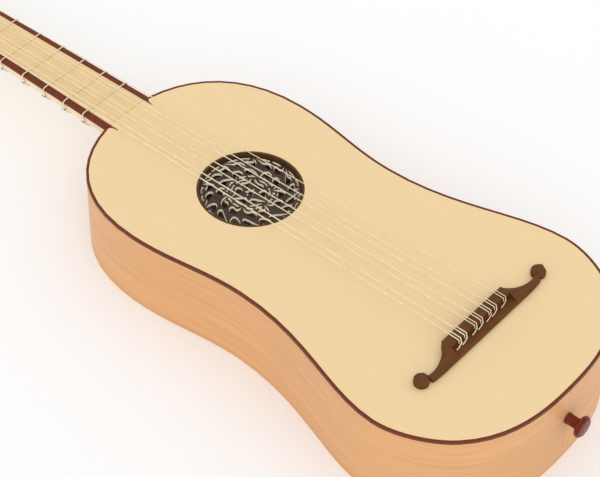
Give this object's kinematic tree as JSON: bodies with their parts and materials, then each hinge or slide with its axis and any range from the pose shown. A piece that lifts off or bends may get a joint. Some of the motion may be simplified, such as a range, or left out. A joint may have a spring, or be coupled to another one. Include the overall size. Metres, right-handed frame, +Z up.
{
  "type": "renaissance guitar",
  "caption": "Small gut-strung renaissance guitar lying on its flat back, with tied frets, a sunk rose and a moustache bridge.",
  "frame": {"origin": "on the outside face of the back, straight below the line where the strings leave the bridge", "axes": "+Y along the centre line towards the head, +X towards the treble side, +Z up through the soundboard; the flat back rests on z = 0"},
  "size_m": [0.2186, 0.7754, 0.0815],
  "materials": {
    "spruce": "thin satin varnish",
    "cherry": "thin satin varnish",
    "edging": "dark, satin",
    "maple": "oiled",
    "board": "oiled",
    "willow": "bare",
    "walnut": "oiled",
    "plum": "polished",
    "rose_rim": "matt",
    "rose": "matt",
    "bone": "polished",
    "gut": "oiled gut"
  },
  "bodies": {
    "guitar": {"soundboard": "spruce", "rose": "rose", "rose_ring": "rose_rim", "binding_bass": "edging", "binding_treble": "edging", "rib_bass": "cherry", "rib_treble": "cherry", "back": "cherry", "top_lining_bass": "willow", "top_lining_treble": "willow", "back_lining_bass": "willow", "back_lining_treble": "willow", "neck_block": "willow", "tail_block": "willow", "soundboard_bar_upper": "spruce", "soundboard_bar_middle": "spruce", "soundboard_bar_lower": "spruce", "back_bar_upper": "spruce", "back_bar_lower": "spruce", "end_button": "plum", "bridge": "walnut", "neck": "maple", "head": "maple", "fingerboard": "board", "fingerboard_edge_bass": "edging", "fingerboard_edge_treble": "edging", "nut": "bone", "string_1": "gut", "string_2a": "gut", "string_2b": "gut", "string_3a": "gut", "string_3b": "gut", "string_4a": "gut", "string_4b": "gut"},
    "peg_1": {"peg_1": "plum"},
    "peg_2a": {"peg_2a": "plum"},
    "peg_2b": {"peg_2b": "plum"},
    "peg_3a": {"peg_3a": "plum"},
    "peg_3b": {"peg_3b": "plum"},
    "peg_4a": {"peg_4a": "plum"},
    "peg_4b": {"peg_4b": "plum"},
    "fret_1": {"fret_1": "gut"},
    "fret_2": {"fret_2": "gut"},
    "fret_3": {"fret_3": "gut"},
    "fret_4": {"fret_4": "gut"},
    "fret_5": {"fret_5": "gut"},
    "fret_6": {"fret_6": "gut"},
    "fret_7": {"fret_7": "gut"},
    "fret_8": {"fret_8": "gut"}
  },
  "joints": [
    {"name": "peg_1_turn", "type": "hinge", "parent": "guitar", "child": "peg_1", "pos_m": [0.0205, 0.56606, 0.05591], "axis": [0, 0.1292, 0.9916], "continuous": true},
    {"name": "peg_2a_turn", "type": "hinge", "parent": "guitar", "child": "peg_2a", "pos_m": [0.0215, 0.59249, 0.05247], "axis": [0, 0.1292, 0.9916], "continuous": true},
    {"name": "peg_2b_turn", "type": "hinge", "parent": "guitar", "child": "peg_2b", "pos_m": [0.0215, 0.61891, 0.04903], "axis": [0, 0.1292, 0.9916], "continuous": true},
    {"name": "peg_3a_turn", "type": "hinge", "parent": "guitar", "child": "peg_3a", "pos_m": [-0.0215, 0.64533, 0.04559], "axis": [0, 0.1292, 0.9916], "continuous": true},
    {"name": "peg_3b_turn", "type": "hinge", "parent": "guitar", "child": "peg_3b", "pos_m": [-0.0215, 0.61891, 0.04903], "axis": [0, 0.1292, 0.9916], "continuous": true},
    {"name": "peg_4a_turn", "type": "hinge", "parent": "guitar", "child": "peg_4a", "pos_m": [-0.0215, 0.59249, 0.05247], "axis": [0, 0.1292, 0.9916], "continuous": true},
    {"name": "peg_4b_turn", "type": "hinge", "parent": "guitar", "child": "peg_4b", "pos_m": [-0.0205, 0.56606, 0.05591], "axis": [0, 0.1292, 0.9916], "continuous": true},
    {"name": "fret_1_slide", "type": "slide", "parent": "guitar", "child": "fret_1", "axis": [0, 0.9997, -0.0249], "range_m": [-0.002, 0.002]},
    {"name": "fret_2_slide", "type": "slide", "parent": "guitar", "child": "fret_2", "axis": [0, 0.9997, -0.0249], "range_m": [-0.002, 0.002]},
    {"name": "fret_3_slide", "type": "slide", "parent": "guitar", "child": "fret_3", "axis": [0, 0.9997, -0.0249], "range_m": [-0.002, 0.002]},
    {"name": "fret_4_slide", "type": "slide", "parent": "guitar", "child": "fret_4", "axis": [0, 0.9997, -0.0249], "range_m": [-0.002, 0.002]},
    {"name": "fret_5_slide", "type": "slide", "parent": "guitar", "child": "fret_5", "axis": [0, 0.9997, -0.0249], "range_m": [-0.002, 0.002]},
    {"name": "fret_6_slide", "type": "slide", "parent": "guitar", "child": "fret_6", "axis": [0, 0.9997, -0.0249], "range_m": [-0.002, 0.002]},
    {"name": "fret_7_slide", "type": "slide", "parent": "guitar", "child": "fret_7", "axis": [0, 0.9997, -0.0249], "range_m": [-0.002, 0.002]},
    {"name": "fret_8_slide", "type": "slide", "parent": "guitar", "child": "fret_8", "axis": [0, 0.9997, -0.0249], "range_m": [-0.002, 0.002]}
  ]
}
